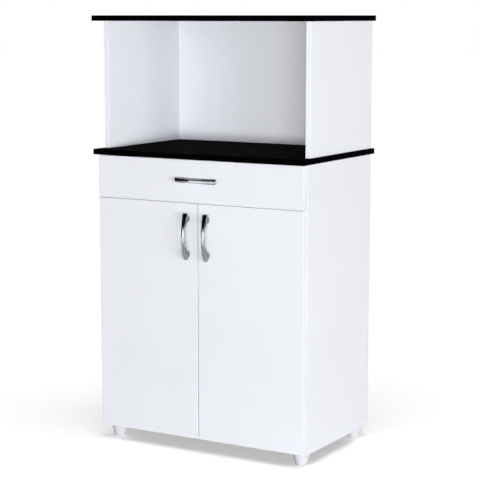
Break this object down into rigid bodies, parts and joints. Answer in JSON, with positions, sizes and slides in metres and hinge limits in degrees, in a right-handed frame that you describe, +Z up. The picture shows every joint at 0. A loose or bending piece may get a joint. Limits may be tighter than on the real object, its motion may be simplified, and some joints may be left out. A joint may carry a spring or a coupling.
{
  "type": "microwave cabinet",
  "caption": "Tall white kitchen cabinet with an open appliance bay over a drawer and a pair of doors, black worktop and top, chrome bow handles and tapered feet.",
  "frame": {"origin": "middle of the floor under the cabinet's box", "axes": "+X to the right seen from the front, +Y to the back, +Z up"},
  "size_m": [0.67, 0.4294, 1.2],
  "materials": {
    "white_melamine": "smooth white melamine on particle board",
    "black_laminate": "black satin laminate on particle board",
    "white_hardboard": "white-faced hardboard",
    "chrome": "polished chrome plating on cast zinc",
    "white_foot_plastic": "white moulded plastic",
    "white_roller_plastic": "white nylon",
    "bumper_rubber": "clear soft bumper",
    "beech": "fluted beech",
    "nickel_plate": "nickel plated steel",
    "white_epoxy_steel": "white epoxy coated steel",
    "zinc_steel": "bright zinc plated steel",
    "cast_zinc": "die cast zinc"
  },
  "bodies": {
    "cabinet": {"bottom_panel": "white_melamine", "left_side_panel": "white_melamine", "right_side_panel": "white_melamine", "worktop": "black_laminate", "bay_left_panel": "white_melamine", "bay_right_panel": "white_melamine", "top_panel": "black_laminate", "base_back_panel": "white_hardboard", "bay_back_panel": "white_hardboard", "divider_rail": "white_melamine", "shelf": "white_melamine", "shelf_pins": "zinc_steel", "front_left_foot": "white_foot_plastic", "front_right_foot": "white_foot_plastic", "back_left_foot": "white_foot_plastic", "back_right_foot": "white_foot_plastic", "foot_screws": "zinc_steel", "board_screws": "zinc_steel", "cam_discs": "cast_zinc", "cam_bolts": "zinc_steel", "dowels": "beech", "left_cabinet_runner": "white_epoxy_steel", "right_cabinet_runner": "white_epoxy_steel", "cabinet_runner_screws": "zinc_steel", "left_hinge_plates": "nickel_plate", "right_hinge_plates": "nickel_plate", "left_hinge_arms": "nickel_plate", "right_hinge_arms": "nickel_plate", "hinge_plate_screws": "zinc_steel", "hinge_arm_screws": "zinc_steel"},
    "left_door": {"left_door": "white_melamine", "left_door_handle": "chrome", "left_handle_screws": "zinc_steel", "left_door_bumpers": "bumper_rubber", "left_hinge_cups": "nickel_plate", "left_cup_screws": "zinc_steel"},
    "right_door": {"right_door": "white_melamine", "right_door_handle": "chrome", "right_handle_screws": "zinc_steel", "right_door_bumpers": "bumper_rubber", "right_hinge_cups": "nickel_plate", "right_cup_screws": "zinc_steel"},
    "left_hinge_links": {"left_hinge_links": "nickel_plate"},
    "right_hinge_links": {"right_hinge_links": "nickel_plate"},
    "drawer": {"drawer_front": "white_melamine", "drawer_handle": "chrome", "drawer_handle_screws": "zinc_steel", "drawer_left_side": "white_melamine", "drawer_right_side": "white_melamine", "drawer_back": "white_melamine", "drawer_bottom": "white_hardboard", "drawer_cam_discs": "cast_zinc", "drawer_cam_bolts": "zinc_steel", "drawer_back_screws": "zinc_steel", "left_drawer_runner": "white_epoxy_steel", "right_drawer_runner": "white_epoxy_steel", "drawer_runner_screws": "zinc_steel"},
    "front_rollers": {"front_rollers": "white_roller_plastic"},
    "rear_rollers": {"rear_rollers": "white_roller_plastic"}
  },
  "joints": [
    {"name": "left_door_hinge", "type": "hinge", "parent": "cabinet", "child": "left_door", "pos_m": [-0.319, -0.1822, 0], "axis": [0, 0, -1], "range_deg": [0, 95]},
    {"name": "right_door_hinge", "type": "hinge", "parent": "cabinet", "child": "right_door", "pos_m": [0.319, -0.1822, 0], "axis": [0, 0, 1], "range_deg": [0, 95]},
    {"name": "left_link_turn", "type": "hinge", "parent": "cabinet", "child": "left_hinge_links", "pos_m": [-0.287, -0.1677, 0], "axis": [0, 0, -1], "range_deg": [-30, 0]},
    {"name": "right_link_turn", "type": "hinge", "parent": "cabinet", "child": "right_hinge_links", "pos_m": [0.287, -0.1677, 0], "axis": [0, 0, 1], "range_deg": [-30, 0]},
    {"name": "drawer_slide", "type": "slide", "parent": "cabinet", "child": "drawer", "axis": [0, -1, 0], "range_m": [0, 0.26]},
    {"name": "front_roller_spin", "type": "hinge", "parent": "cabinet", "child": "front_rollers", "pos_m": [0, -0.1543, 0.716], "axis": [1, 0, 0], "range_deg": [0, 1625]},
    {"name": "rear_roller_spin", "type": "hinge", "parent": "drawer", "child": "rear_rollers", "pos_m": [0, 0.1653, 0.714], "axis": [1, 0, 0], "range_deg": [0, 1760]}
  ],
  "couplings": [
    {"joint": "left_link_turn", "follows": "left_door_hinge", "ratio": -0.30649},
    {"joint": "right_link_turn", "follows": "right_door_hinge", "ratio": -0.30649},
    {"joint": "front_roller_spin", "follows": "drawer_slide", "rad_per_m": 108.7},
    {"joint": "rear_roller_spin", "follows": "drawer_slide", "rad_per_m": 117.65}
  ]
}
